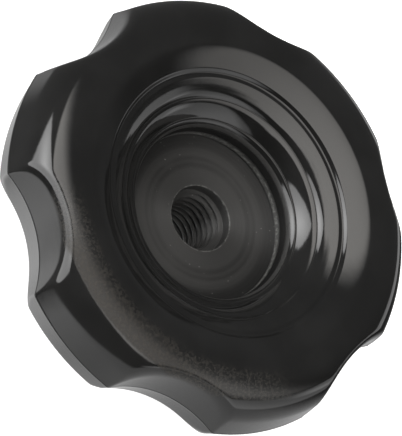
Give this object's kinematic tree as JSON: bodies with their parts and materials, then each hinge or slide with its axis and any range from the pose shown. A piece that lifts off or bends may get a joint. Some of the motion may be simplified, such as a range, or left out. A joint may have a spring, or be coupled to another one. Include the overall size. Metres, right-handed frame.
{
  "type": "handwheel",
  "caption": "Lobed handwheel with finger scallops round its rim, a stepped dish with a machined seat in its face, and a threaded hub on its back.",
  "frame": {"origin": "centre of the boss's end face, on the hub's axis, which is the lowest point of the wheel", "axes": "+Z along the hub's axis, out of the dished face; +X through the middle of a lobe"},
  "size_m": [0.084, 0.081, 0.0309],
  "materials": {
    "phenolic": "black compression-moulded phenolic, semi-gloss, matt grey-black where it is machined"
  },
  "bodies": {
    "root": {"wheel": "phenolic"}
  },
  "joints": []
}
